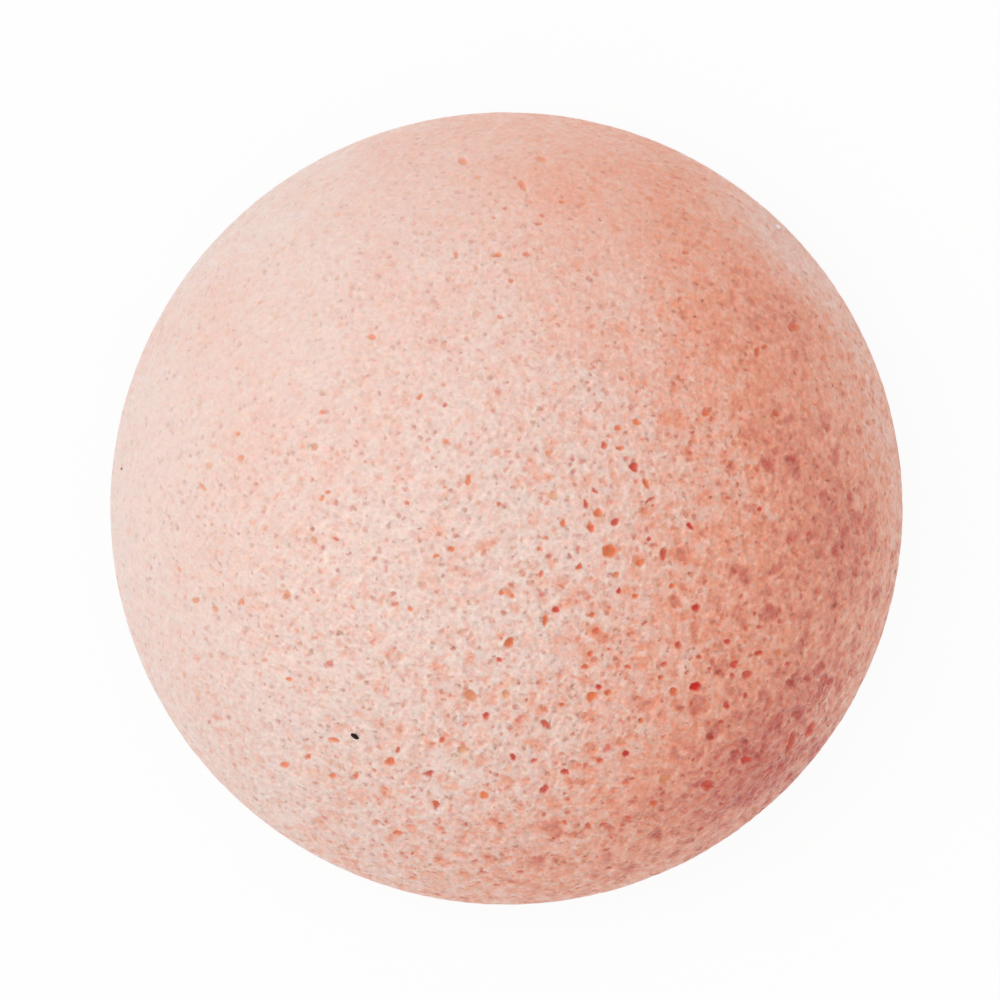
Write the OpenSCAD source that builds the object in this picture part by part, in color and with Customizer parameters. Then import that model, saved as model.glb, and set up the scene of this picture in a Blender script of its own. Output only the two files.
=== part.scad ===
// Konjac sponge: a half ball of pink konjac foam for washing the face.
// It lies on its flat back, with the middle of the back at the origin and the dome up.

/* [Sponge] */
// Width across the widest line
sponge_d = 80; // [76:1:100]
// Height from the flat back to the top of the dome
sponge_h = 40; // [30:1:41]
// Radius of the rounded edge between the dome and the flat back
edge_r = 6; // [3:0.5:9]

/* [Open pores of the dome] */
// Width of the widest pore's mouth
pore_w = 1.7; // [1:0.1:2]
// Depth of the widest pore
pore_depth = 1; // [0.6:0.1:1.2]

/* [Open pores of the back] */
// Width of the widest pore's mouth
back_pore_w = 1.5; // [0.8:0.1:2.4]
// Depth of the widest pore
back_pore_depth = 0.9; // [0.5:0.1:1.4]
// Number of pores
back_pores = 48; // [12:1:90]

/* [Flecks and grain in the foam] */
// Length of the largest dark fleck of corm skin
fleck_l = 0.95; // [0.6:0.05:1.6]
// Width of the largest fleck
fleck_w = 0.55; // [0.3:0.05:1]
// Thickness of the largest fleck
fleck_t = 0.4; // [0.2:0.05:0.6]
// Length of the pale grain of undissolved konjac flour
grain_l = 1.1; // [0.6:0.05:1.6]
// Width of the grain
grain_w = 0.7; // [0.3:0.05:1.1]
// Thickness of the grain
grain_t = 0.5; // [0.3:0.05:0.8]

/* [Hidden] */

// Flat back and dome: the dome is the ball surface that runs on smoothly from the rounded edge
back_r = sponge_d / 2 - edge_r;
dome_r = (pow(back_r, 2) + pow(sponge_h - edge_r, 2) - pow(edge_r, 2)) / (2 * (sponge_h - 2 * edge_r));
dome_z = sponge_h - dome_r;
// Direction from the dome's middle to the middle of the edge round, where the two surfaces meet
meet_turn = atan2(edge_r - dome_z, back_r);

// Clearance all round a fleck or grain in its seat
seat_gap = 0.01;
// How far a cut runs past the surface it opens
overrun = 1;
// How much of its thickness a fleck or grain stands out of the foam
proud_share = 0.3;

// The largest open pores of the dome, seen from above: how far right and up of the middle,
// as shares of half the width, and the mouth's width as a share of pore_w
dome_pore_shares = [
    [0.26, -0.11, 1], [0.48, -0.45, 0.6], [0.42, -0.46, 0.6], [0.32, 0.1, 0.6],
    [0.33, 0.22, 0.5], [0.28, 0.2, 0.45], [-0.15, 0.26, 0.4], [0.04, 0.81, 0.5],
    [-0.34, 0.43, 0.5], [-0.1, 0.07, 0.55], [-0.02, 0.01, 0.4], [-0.25, 0.01, 0.4],
    [-0.22, 0.28, 0.4], [-0.14, -0.1, 0.45], [-0.18, -0.12, 0.4], [0.23, -0.01, 0.5],
    [0.27, -0.03, 0.4], [0.21, -0.05, 0.4], [0.12, -0.26, 0.5], [0.1, -0.28, 0.4],
    [0.23, -0.31, 0.5], [0.22, -0.27, 0.4], [-0.01, -0.21, 0.4], [0.02, -0.22, 0.4],
    [-0.24, -0.25, 0.4], [0.28, -0.17, 0.4], [0.4, -0.11, 0.55], [0.46, -0.04, 0.45],
    [0.36, -0.08, 0.4], [0.64, 0, 0.4], [0.5, 0.24, 0.4], [0.68, 0.24, 0.4],
    [0.48, -0.25, 0.4], [0.64, -0.3, 0.4], [0.21, -0.48, 0.7], [0.23, -0.44, 0.4],
    [0.26, -0.46, 0.45], [0.2, -0.4, 0.5], [0.21, -0.36, 0.4], [0.31, -0.4, 0.4],
    [0.3, -0.62, 0.5], [0.24, -0.64, 0.45], [0.2, -0.81, 0.45], [0.25, -0.8, 0.45],
    [0.15, -0.79, 0.4], [0.31, -0.78, 0.4], [0.03, -0.92, 0.4], [-0.3, -0.64, 0.75],
    [-0.27, -0.61, 0.4], [-0.18, -0.74, 0.5], [-0.27, -0.82, 0.5], [0.01, -0.34, 0.45],
    [0.14, -0.5, 0.4], [0.51, -0.7, 0.5], [0.4, -0.68, 0.55], [0.37, -0.75, 0.4],
    [0.49, -0.81, 0.4], [0.6, -0.63, 0.5], [0.58, -0.39, 0.4], [0.71, -0.39, 0.4],
    [0.71, -0.59, 0.45], [-0.56, -0.65, 0.5], [-0.44, -0.67, 0.4], [-0.38, -0.67, 0.4],
    [-0.43, -0.58, 0.45], [-0.55, -0.43, 0.4], [-0.46, 0.24, 0.4], [-0.67, 0.13, 0.4],
    [-0.45, 0.04, 0.4], [-0.11, 0.87, 0.4], [-0.02, 0.64, 0.4], [0.05, 0.64, 0.4],
    [-0.13, 0.64, 0.4], [0.01, 0.57, 0.4], [-0.02, 0.48, 0.4], [0.45, 0.64, 0.4],
    [0.72, 0.46, 0.4], [0.63, 0.4, 0.4],
];

// Dark flecks: how far right and up of the middle, and size, all as shares, and turn in degrees
fleck_shares = [
    [-0.38, -0.57, 1, -35],
    [-0.97, 0.1, 0.5, -30],
    [0.49, 0.52, 0.45, 70],
    [0.47, 0.48, 0.45, 20],
];
// The pale grain, near the rim
grain_share = [0.685, 0.71, 1, 50];
// Outline of a fleck or grain: corners as shares of its length and width
chip_outline_shares = [
    [-0.5, 0.05], [-0.33, 0.38], [0.02, 0.5], [0.35, 0.32],
    [0.5, -0.08], [0.3, -0.42], [-0.05, -0.5], [-0.37, -0.3],
];

// Turn from each back pore to the next, which spreads them evenly in a sunflower's spiral
golden_turn = 180 * (3 - sqrt(5));
// How far out the back pores reach, as a share of the flat back's radius
back_reach_share = 0.93;
// Width of the narrowest back pore, as a share of the widest
narrow_share = 0.5;
// Step that mixes wide and narrow back pores
mix_share = 0.37;

// Radius of the bubble that leaves a mouth of width w and a pit of the given depth
function bubble_r(w, depth) = (pow(w / 2, 2) + pow(depth, 2)) / (2 * depth);

// Puts its children on the dome's surface above x, y, with their Z axis pointing out of it
module on_dome(x, y) {
    translate([0, 0, dome_z])
        rotate([0, asin(norm([x, y]) / dome_r), atan2(y, x)])
            translate([0, 0, dome_r])
                children();
}

// The bubble that a pore opens into, with its mouth's middle at the origin and facing +Z
module pore(w, depth) {
    translate([0, 0, bubble_r(w, depth) - depth]) sphere(r = bubble_r(w, depth), $fn = 24);
}

// A chip let into the dome at the place, size and turn that a row of shares gives. With a gap
// and a rise it is the seat that the chip lies in.
module chip(row, l, w, t, gap = 0, rise = 0) {
    x = row[0] * sponge_d / 2;
    y = row[1] * sponge_d / 2;
    long = row[2] * l + 2 * gap;
    wide = row[2] * w + 2 * gap;
    on_dome(x, y)
        rotate([0, 0, row[3] - atan2(y, x)])
            translate([0, 0, row[2] * t * (proud_share - 1) - gap])
                linear_extrude(height = row[2] * t + gap + rise)
                    polygon([for (corner = chip_outline_shares) [corner[0] * long, corner[1] * wide]]);
}

// Half of the section through the middle. A line runs from the dome's middle through the middle
// of the edge round: the dome lies above it, and the edge round and the flat back below it.
module half_section() {
    reach = dome_r + overrun;
    meet = [cos(meet_turn), sin(meet_turn)];
    past = [reach * meet[0], dome_z + reach * meet[1]];
    top = sponge_h + overrun;
    intersection() {
        translate([0, dome_z]) circle(r = dome_r, $fn = 256);
        polygon([[0, dome_z], past, [past[0], top], [0, top]]);
        square([past[0], top]);
    }
    intersection() {
        union() {
            translate([back_r, edge_r]) circle(r = edge_r, $fn = 96);
            square([back_r, sponge_h]);
        }
        polygon([[0, dome_z], past, [past[0], -overrun], [0, -overrun]]);
    }
}

module dome_pores() {
    for (p = dome_pore_shares)
        on_dome(p[0] * sponge_d / 2, p[1] * sponge_d / 2) pore(p[2] * pore_w, p[2] * pore_depth);
}

module back_pore_field() {
    for (i = [1:back_pores]) {
        size_share = 1 - (1 - narrow_share) * ((i * mix_share) % 1);
        rotate([0, 0, i * golden_turn])
            translate([back_reach_share * back_r * sqrt(i / back_pores), 0, 0])
                mirror([0, 0, 1])
                    pore(size_share * back_pore_w, size_share * back_pore_depth);
    }
}

// The moulded half ball of foam
module sponge_body() {
    color("#E9C3B2")
        difference() {
            rotate_extrude($fn = 192) half_section();
            dome_pores();
            back_pore_field();
            for (f = fleck_shares) chip(f, fleck_l, fleck_w, fleck_t, seat_gap, overrun);
            chip(grain_share, grain_l, grain_w, grain_t, seat_gap, overrun);
        }
}

// Dark flecks of corm skin that came through with the konjac flour
module corm_flecks() {
    color("#2A1A17") for (f = fleck_shares) chip(f, fleck_l, fleck_w, fleck_t);
}

// Pale grain of konjac flour that did not dissolve
module konjac_grain() {
    color("#EEE0DC") chip(grain_share, grain_l, grain_w, grain_t);
}

sponge_body();
corm_flecks();
konjac_grain();
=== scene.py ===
"""Dresses the konjac sponge: a half ball of pink konjac foam that lies on its flat back."""

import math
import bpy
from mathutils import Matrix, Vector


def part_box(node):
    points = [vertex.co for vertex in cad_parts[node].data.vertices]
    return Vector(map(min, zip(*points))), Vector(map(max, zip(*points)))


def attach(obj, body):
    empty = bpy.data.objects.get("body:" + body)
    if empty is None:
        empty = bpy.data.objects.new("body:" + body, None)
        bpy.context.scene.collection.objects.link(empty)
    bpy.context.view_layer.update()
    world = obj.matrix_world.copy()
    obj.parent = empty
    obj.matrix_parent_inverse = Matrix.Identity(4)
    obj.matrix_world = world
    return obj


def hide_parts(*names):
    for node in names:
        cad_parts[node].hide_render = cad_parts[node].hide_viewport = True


bl_info = {
    "name": "Konjac Sponge",
    "version": (1, 0, 0),
    "blender": (4, 5, 0),
    "location": "View3D > Sidebar > Konjac Sponge",
    "description": "Makes a half ball of konjac foam with its bubbles, open pores and flecks",
    "category": "Add Mesh",
}

import bpy
import numpy as np
from bpy.props import FloatProperty, FloatVectorProperty, IntProperty, PointerProperty
from bpy.types import Operator, Panel, PropertyGroup
from mathutils import Euler, Matrix, Vector, kdtree

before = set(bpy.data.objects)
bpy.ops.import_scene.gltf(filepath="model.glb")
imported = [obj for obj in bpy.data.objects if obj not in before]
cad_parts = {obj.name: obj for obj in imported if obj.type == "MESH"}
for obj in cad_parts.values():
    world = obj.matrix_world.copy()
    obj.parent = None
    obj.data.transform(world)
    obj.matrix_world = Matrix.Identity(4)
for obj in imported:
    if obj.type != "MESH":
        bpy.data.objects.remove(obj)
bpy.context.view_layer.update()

MM = 0.001

# Place and radius of the sponge's outline in the photograph, in its 1000 pixel frame
PHOTO_SIDE = 1000
OUTLINE_X, OUTLINE_Y, OUTLINE_R = 506.5, 508.5, 396.5
SENSOR_MM = 36.0

# The open pores that can be told apart in the photograph: where they are in its frame, how long and wide
# their mouths are in millimetres, the turn of the long side in degrees, and how far their colour goes from
# tan over orange and rose to crimson. That colour is painted shade, standing in for the shade and bounced
# light inside the pit.
PORES = [
    (610, 551, 1.8, 1.3, -15, 0.2), (598, 513, 1.0, 0.9, 0, 0.3), (615, 522, 0.9, 0.8, 40, 0.8),
    (591, 528, 1.0, 0.8, -60, 0.35), (586, 504, 0.9, 0.6, -70, 0.7), (634, 467, 1.1, 0.95, 60, 0.9),
    (646, 483, 1.2, 0.6, -60, 0.4), (595, 491, 0.9, 0.4, -45, 0.8), (553, 496, 1.2, 0.8, 0, 0.0),
    (549, 453, 0.8, 0.7, 0, 0.1), (563, 523, 1.0, 0.5, 85, 0.3), (539, 549, 0.6, 0.5, 20, 0.4),
    (640, 563, 1.2, 0.7, 5, 0.2), (649, 539, 0.6, 0.5, 0, 0.9), (579, 567, 0.9, 0.5, 45, 0.5),
    (541, 574, 0.8, 0.5, 60, 0.5), (616, 575, 0.8, 0.7, 0, 0.15), (604, 445, 1.0, 0.6, -80, 0.6),
    (620, 448, 0.9, 0.5, 0, 0.4), (650, 500, 1.2, 0.4, 35, 0.8), (696, 687, 1.2, 1.1, 30, 1.0),
    (674, 692, 1.0, 0.9, 60, 0.3), (661, 678, 0.6, 0.6, 0, 0.4), (664, 665, 0.9, 0.5, 20, 0.7),
    (678, 645, 0.8, 0.6, 40, 0.7), (728, 642, 0.8, 0.6, 0, 0.8), (699, 657, 0.6, 0.5, 0, 0.6),
    (710, 669, 0.5, 0.5, 0, 0.7), (735, 665, 0.9, 0.8, 50, 0.8), (733, 676, 0.6, 0.6, 0, 0.6),
    (748, 675, 1.1, 0.8, 50, 0.6), (759, 653, 0.9, 0.6, 20, 0.8), (746, 696, 0.7, 0.6, 70, 0.7),
    (727, 706, 0.9, 0.7, -50, 0.8), (692, 704, 1.0, 0.4, 80, 0.6), (721, 722, 0.6, 0.5, 0, 0.7),
    (746, 760, 1.2, 0.8, 20, 0.85), (702, 769, 0.4, 0.4, 0, 0.6), (712, 774, 0.5, 0.5, 0, 0.7),
    (665, 779, 1.2, 1.0, 0, 0.1), (641, 721, 0.6, 0.6, 0, 0.3), (522, 186, 1.2, 0.7, -55, 0.5),
    (463, 162, 1.0, 0.8, 0, 0.4), (541, 160, 1.4, 0.6, -15, 0.25), (505, 209, 0.5, 0.4, 0, 0.7),
    (494, 218, 0.4, 0.4, 0, 0.6), (542, 216, 0.6, 0.4, -40, 0.8), (538, 224, 0.8, 0.4, 5, 0.8),
    (456, 255, 0.8, 0.5, -75, 0.4), (497, 255, 1.2, 0.5, 5, 0.3), (526, 254, 0.8, 0.5, 0, 0.6),
    (562, 202, 0.7, 0.4, 0, 0.5), (637, 422, 0.9, 0.7, 0, 0.3), (618, 428, 0.8, 0.6, 0, 0.25),
    (445, 405, 0.6, 0.5, 0, 1.0), (372, 337, 0.8, 0.7, 0, 0.4), (468, 480, 1.1, 0.7, 80, 0.3),
    (499, 504, 0.6, 0.5, 0, 0.5), (407, 503, 0.6, 0.5, 0, 0.4), (420, 397, 0.9, 0.4, 60, 0.4),
    (451, 549, 0.8, 0.6, 0, 0.3), (436, 556, 0.6, 0.5, 0, 0.3), (556, 610, 0.8, 0.8, 0, 0.9),
    (545, 621, 1.2, 0.6, 80, 0.3), (596, 631, 0.9, 0.7, 0, 0.5), (592, 615, 0.7, 0.6, 0, 0.4),
    (501, 593, 0.6, 0.5, 0, 0.4), (512, 596, 0.6, 0.5, 0, 0.4), (410, 609, 0.6, 0.5, 0, 0.3),
    (664, 554, 1.5, 0.8, 85, 0.6), (690, 526, 0.9, 0.6, -50, 0.9), (760, 509, 0.6, 0.5, 0, 0.9),
    (706, 412, 1.0, 0.8, 80, 0.4), (776, 413, 0.9, 0.7, 0, 0.6), (696, 608, 0.9, 0.8, 30, 0.9),
    (759, 627, 0.6, 0.5, 0, 0.6), (592, 697, 1.3, 1.0, 20, 0.25), (599, 687, 0.7, 0.6, 0, 0.9),
    (608, 693, 0.8, 0.6, 0, 0.3), (585, 667, 0.8, 0.7, 0, 0.4), (590, 654, 0.7, 0.6, 0, 0.5),
    (628, 667, 0.7, 0.5, 0, 0.5), (626, 754, 0.9, 0.7, 0, 0.95), (600, 761, 0.8, 0.6, 0, 0.6),
    (588, 827, 0.8, 0.6, 0, 0.5), (604, 825, 0.8, 0.5, 0, 0.6), (565, 823, 0.7, 0.5, 0, 0.5),
    (628, 818, 0.7, 0.5, 0, 0.6), (520, 872, 0.8, 0.4, 0, 0.6), (497, 885, 0.8, 0.4, 0, 0.5),
    (390, 762, 1.2, 0.8, -15, 0.3), (398, 750, 0.9, 0.4, 80, 0.5), (436, 804, 0.9, 0.7, 0, 0.5),
    (398, 833, 0.9, 0.6, 0, 0.4), (509, 643, 1.2, 1.0, 30, 0.3), (562, 705, 0.7, 0.5, 0, 0.4),
    (708, 786, 1.3, 1.2, 0, 0.8), (654, 804, 0.9, 0.7, 0, 0.5), (700, 829, 0.8, 0.6, 45, 0.8),
    (788, 664, 0.7, 0.5, 0, 0.6), (790, 743, 2.8, 0.7, 80, 0.7), (810, 729, 1.8, 0.9, 75, 0.8),
    (285, 765, 0.9, 0.7, 0, 0.3), (332, 776, 0.7, 0.5, 0, 0.3), (356, 776, 0.8, 0.5, 85, 0.3),
    (334, 740, 1.4, 0.4, -12, 0.3), (308, 757, 0.7, 0.5, 0, 0.3), (289, 679, 0.7, 0.5, 0, 0.3),
    (322, 412, 0.7, 0.5, 0, 0.4), (241, 458, 1.0, 0.6, 25, 0.2), (203, 487, 1.2, 0.5, -50, 0.2),
    (328, 492, 0.6, 0.5, 0, 0.4), (322, 498, 0.8, 0.5, 45, 0.3), (238, 434, 0.7, 0.5, 30, 0.3),
    (336, 539, 0.8, 0.4, -20, 0.8), (511, 281, 0.6, 0.5, 0, 0.5), (500, 317, 0.6, 0.5, 0, 0.5),
    (685, 253, 0.8, 0.4, -10, 0.8), (793, 327, 1.3, 0.9, -30, 0.6), (757, 352, 1.0, 0.7, 80, 0.5),
    (764, 347, 0.7, 0.5, 30, 0.6), (672, 586, 0.7, 0.6, 0, 0.2), (635, 596, 0.7, 0.6, 0, 0.3),
    (619, 591, 0.6, 0.6, 0, 0.9), (470, 696, 1.4, 1.2, 0, 0.1), (486, 716, 0.7, 0.7, 0, 0.8),
    (499, 660, 0.8, 0.5, -20, 0.8), (513, 757, 0.9, 0.6, -60, 0.8), (565, 772, 0.8, 0.7, 0, 0.8),
    (546, 725, 1.2, 0.8, -40, 0.6), (442, 740, 0.7, 0.6, 80, 0.7), (484, 796, 1.0, 0.8, 0, 0.2),
    (462, 750, 1.0, 0.9, 0, 0.05), (506, 695, 0.9, 0.9, 0, 0.05), (544, 790, 1.0, 0.9, 0, 0.7),
    (429, 774, 0.9, 0.7, 40, 0.7), (209, 466, 1.0, 0.7, 60, 0.05), (242, 602, 0.9, 0.6, -60, 0.2),
    (314, 540, 0.9, 0.7, -60, 0.1), (215, 609, 0.9, 0.6, -60, 0.2), (287, 595, 1.0, 0.8, 80, 0.1),
    (196, 600, 0.9, 0.6, 0, 0.2), (315, 447, 0.9, 0.6, 80, 0.1),
]

# Flecks of corm skin and the grain of flour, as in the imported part: how far right and up of the
# middle and how large, as shares of half the width and of the largest, and the turn in degrees
FLECKS = [
    (-0.38, -0.57, 1, -35), (-0.97, 0.1, 0.5, -30), (0.49, 0.52, 0.45, 70), (0.47, 0.48, 0.45, 20),
]
GRAIN = (0.685, 0.71, 1, 50)
# Half length and half thickness of one as shares of the whole, and how far it is sunk as a share
# of its thickness, so that nearly a third of it stands out. Then its seat's half length and depth.
CHIP_HALF_SHARE, CHIP_SUNK_SHARE = 0.46, 0.2
SEAT_HALF_SHARE, SEAT_DEPTH_SHARE = 0.52, 0.7

# Blotches where the clay is denser or thinner: where they are in the photograph's frame, how far they
# reach in millimetres, and how much clay they add or, below zero, lack. They are partly clay and partly
# painted light: most of those below zero lie by the outline as painted rim sheen, and the strong ones on
# the side away from the lamp are painted shade.
CLAY_AND_LIGHT_BLOTCHES = [
    (770, 310, 6, 0.2), (770, 430, 5, 0.2), (740, 600, 6, 0.2), (700, 700, 6, 0.1),
    (640, 800, 6, 0.2), (770, 765, 10, 0.85), (520, 180, 9, 0.2), (600, 230, 7, 0.12),
    (778, 236, 8, -0.6), (845, 320, 6, -0.4), (880, 420, 6, -0.3), (895, 520, 6, -0.1),
    (420, 330, 9, 0.08), (590, 490, 6, -0.1), (840, 560, 7, 0.45), (700, 860, 6, 0.35),
    (520, 880, 8, 0.12), (800, 440, 6, 0.12), (700, 320, 5, 0.12), (790, 790, 5, 0.3),
    (125, 510, 10, -0.15), (230, 240, 8, -0.1),
]

# Spots of painted glints, pale strokes that stand in for highlights on wet ridges: where they are in the
# photograph's frame and how far they reach in millimetres. Then the strokes' width and strength.
PAINTED_GLINTS = [(350, 575, 9), (290, 640, 6), (690, 870, 5), (830, 700, 6)]
STROKE_WIDTH, STROKE_STRENGTH = 0.9 * MM, 2

# About how far the foam's skin lies under the smooth dome
MEAN_DEPTH = 0.2 * MM

# The pores of the back lie in a sunflower's spiral: the turn from each to the next, how far out
# they reach as a share of the flat back, the narrowest as a share of the widest, the step that
# mixes wide and narrow ones, and a mouth's width as a share of its length
GOLDEN_TURN = math.pi * (3 - math.sqrt(5))
BACK_REACH_SHARE, NARROW_SHARE, MIX_SHARE, SLIM_SHARE = 0.93, 0.5, 0.37, 0.85

# The way in which the clay grows denser, down and to one side, and where it starts and ends, in half
# widths. This is partly the clay's own tint and partly painted shade, since the denser clay lies on the
# side away from the lamp. The same for the way in which the cells grow coarser.
CLAY_AND_SHADE_WAY, CLAY_AND_SHADE_SPAN = (0.78, -0.1, -0.62), (-0.85, 0.25)
# Coarse foam also gets stronger tints and more colour contrast, so the side towards the lamp is paler and
# plainer: partly finer foam, and partly painted light that washes it out
COARSE_WAY, COARSE_SPAN = (0.45, -0.55, 0.4), (-0.5, 0.8)
# The clay that all of the foam holds, the coarseness that all of it has, and how wide the drifts
# of clay are and how much they shift
CLAY_BASE, COARSE_LEAST = 0.08, 0.1
DRIFT_WIDTH, DRIFT_CLAY = 6 * MM, 0.3

# The cells are drawn this much taller than wide, as they look near the outline, and the lattices
# that place them are turned, so that no row of cells lines up with the sponge
TALL = 1.4
LATTICE_TURN = (0.6, 0.4, 0.3)

# Cells packed side by side, a row for each group: spacing and deepest pit in millimetres, the clay that a
# cell adds in fine foam, how much more it adds in coarse foam and the power with which that grows, and the
# seed. A cell's clay grows with its depth, so sunk cells are darker: partly clay and partly painted shade
# in the hollows.
CELLS = [(1.2, 0.25, 0.05, 0.4, 1, 600), (2.2, 0.1, 0.0, 0.9, 3, 650)]
# The share of its depth that a cell keeps in the finest foam, and about the mean of their fill,
# which is taken off so that cells shift the clay and hardly add any
FINE_PIT_SHARE, MEAN_FILL = 0.3, 0.17

# Bubbles strewn through the foam, a row for each group: spacing, smallest and largest radius in
# millimetres, how strongly one is tinted in fine foam, how much more in coarse foam, and the seed. The
# tint inside a cut bubble is painted shade.
BUBBLES = [
    (1.0, 0.15, 0.3, 0.15, 0.5, 100), (1.4, 0.2, 0.45, 0.25, 0.6, 150), (3.0, 0.3, 0.6, 0.5, 0.5, 200),
]
# How deep a cut bubble may be as a share of its radius, in fine foam and how much more in coarse
# foam, and how pale the lip round it is and how many radii it reaches
BUBBLE_DEPTH_SHARE, COARSE_DEPTH_SHARE = 0.15, 0.3
BUBBLE_LIP, BUBBLE_LIP_REACH = 0.35, 1.5

# Humps and hollows of the skin, a row for each group: width and depth in millimetres, how much
# deeper they are in coarse foam, and the seed. Then the share of all relief that the sides keep.
HUMPS = [(3.0, 0.1, 0.0, 300), (0.6, 0.06, 0.14, 400)]
SIDE_RELIEF_SHARE = 0.3

# The pit of an open pore: its depth as a share of the mouth's mean width, and the fullness of its
# sides, from 1 for a dish down to 0 for a drum, and what share of its depth and colour it keeps in
# the finest foam. Then how pale its lip is, and the lip's place and width in half mouth widths.
PORE_DEPTH_SHARE, PORE_FULLNESS, FINE_PORE_SHARE = 0.5, 0.6, 0.5
PORE_LIP, PORE_LIP_PLACE, PORE_LIP_WIDTH = 0.45, 1.25, 0.15

# What the foam's mesh tells its material at each point
LAYERS = ("open", "hue", "lip", "clay", "coarse")
# The radii of the foam's two flat maps together, as a share of the square's side, and the margin
# round each
MAP_SHARE, MAP_MARGIN = 0.49, 1.01

# Widths of the materials' patterns, and how far bubbles under the skin are bent out of round
CLAY_PATCH, CLOSED_BUBBLE, BUBBLE_BEND, BUBBLE_SHIFT = 1.2 * MM, 0.8 * MM, 0.5 * MM, 0.6 * MM
WALL_FLECK, GEL_GRAIN, SKIN_FIBRE, FLOUR_CLOT = 0.5 * MM, 0.5 * MM, 0.12 * MM, 0.2 * MM
GEL_IOR = 1.36

# How far away the key lamp stands in metres, how wide it is, and its turn from the left towards
# the photograph's top
LAMP_FAR, LAMP_WIDTH, LAMP_TURN = 1.0, 0.6, math.radians(14)

# Large odd factors that mix a cell's whole numbers and a seed, and masks of the bits to keep
CELL_FACTORS, SEED_FACTOR, STIR_FACTOR = (73856093, 19349663, 83492791), 2654435761, 0x2C1B3C6D
LOW_32_BITS, LOW_24_BITS = 0xFFFFFFFF, 0xFFFFFF


def linear(hex_colour):
    """A colour written as sRGB hex, turned to the linear values that Blender works in"""
    parts = [int(hex_colour[i : i + 2], 16) / 255 for i in (1, 3, 5)]
    return tuple(p / 12.92 if p <= 0.04045 else ((p + 0.055) / 1.055) ** 2.4 for p in parts)


def body_size(axis):
    """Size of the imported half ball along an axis, to a tenth of a millimetre"""
    low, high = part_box("sponge_body")
    return round(high[axis] - low[axis], 4)


def measure(name, about, default):
    """A length that a user can change"""
    return FloatProperty(name=name, description=about, default=default, unit="LENGTH")


def colour(name, about, hex_colour):
    """A colour that a user can change"""
    return FloatVectorProperty(
        name=name, description=about, default=linear(hex_colour), min=0, max=1, subtype="COLOR"
    )


class FoamSettings(PropertyGroup):
    """Sizes and colours of the half ball of foam"""

    width: measure("Width", "Across the widest line", body_size(0))
    height: measure("Height", "From the flat back to the top", body_size(2))
    edge: measure("Edge round", "Radius between dome and back", 6 * MM)
    spacing: measure("Dome spacing", "Between points on the dome", 0.16 * MM)
    back_spacing: measure("Back spacing", "Between points on the back", 0.24 * MM)
    back_pores: IntProperty(name="Back pores", description="Open pores of the back", default=48)
    back_pore: measure("Back pore", "Mouth of the widest one", 1.5 * MM)
    seed: IntProperty(name="Seed", description="Draws another set of bubbles", default=7)
    # Pale, salmon and brick are the clay's tint. Where the clay layer carries painted light, salmon and
    # brick also paint shade and pale paints rim sheen
    pale: colour("Pale foam", "Konjac gel with little clay in it", "#EACFC5")
    salmon: colour("Salmon foam", "Konjac gel with much clay in it", "#EC9F83")
    brick: colour("Brick foam", "Konjac gel with the most clay in it", "#C65B4D")
    cream: colour("Thin walls", "Thin gel between the bubbles", "#FAE4D4")
    # Tan, orange, rosy and crimson are painted shade: the shade and bounced light inside pores and cut
    # bubbles
    tan: colour("Tan pore", "Inside of a shallow pore", "#E4B896")
    orange: colour("Orange pore", "Inside of most pores", "#EE8856")
    rosy: colour("Rosy pore", "Inside of a deeper pore", "#DC6C5A")
    crimson: colour("Crimson pore", "Inside of the deepest pores", "#DE2E24")


class ChipSettings(PropertyGroup):
    """Sizes and colours of what lies in the foam"""

    fleck_length: measure("Fleck length", "Of the largest fleck", 0.95 * MM)
    fleck_width: measure("Fleck width", "Of the largest fleck", 0.55 * MM)
    fleck_thickness: measure("Fleck thickness", "Of the largest fleck", 0.4 * MM)
    grain_length: measure("Grain length", "Of the grain of flour", 1.1 * MM)
    grain_width: measure("Grain width", "Of the grain of flour", 0.7 * MM)
    grain_thickness: measure("Grain thickness", "Of the grain of flour", 0.5 * MM)
    skin: colour("Corm skin", "Dried skin of the konjac corm", "#140A08")
    veil: colour("Veiled skin", "Corm skin seen through a film of gel", "#C48C72")
    flour: colour("Konjac flour", "Flour that did not dissolve", "#EADCDC")


class StageSettings(PropertyGroup):
    """Camera and light"""

    camera_height: measure("Camera height", "Above the floor", 2.4)
    key_power: FloatProperty(name="Key lamp", description="Power of the lamp", default=2.4, unit="POWER")
    key_side: FloatProperty(
        name="Key side", description="Turn of the lamp from overhead", default=0.62, unit="ROTATION"
    )
    fill: FloatProperty(name="Fill", description="Strength of the plain studio light", default=0.85)


def add_node(tree, kind, inputs=None, stops=(), **settings):
    """Adds a shader node with its settings and colour stops, and sets or links its inputs"""
    node = tree.nodes.new(kind)
    for name, value in settings.items():
        setattr(node, name, value)
    for place, (position, shade) in enumerate(stops):
        ramp = node.color_ramp.elements
        stop = ramp[place] if place < 2 else ramp.new(position)
        stop.position, stop.color = position, shade
    for name, value in (inputs or {}).items():
        if isinstance(value, bpy.types.NodeSocket):
            tree.links.new(value, node.inputs[name])
        else:
            node.inputs[name].default_value = value
    return node


def new_material(name):
    """An empty material, its node tree and its output node"""
    material = bpy.data.materials.new(name)
    material.use_nodes = True
    tree = material.node_tree
    tree.nodes.clear()
    return material, tree, tree.nodes.new("ShaderNodeOutputMaterial")


def new_piece(name, mesh, material):
    """An object with this mesh and this material, in the scene"""
    piece = bpy.data.objects.new(name, mesh)
    bpy.context.scene.collection.objects.link(piece)
    mesh.materials.append(material)
    return piece


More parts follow.
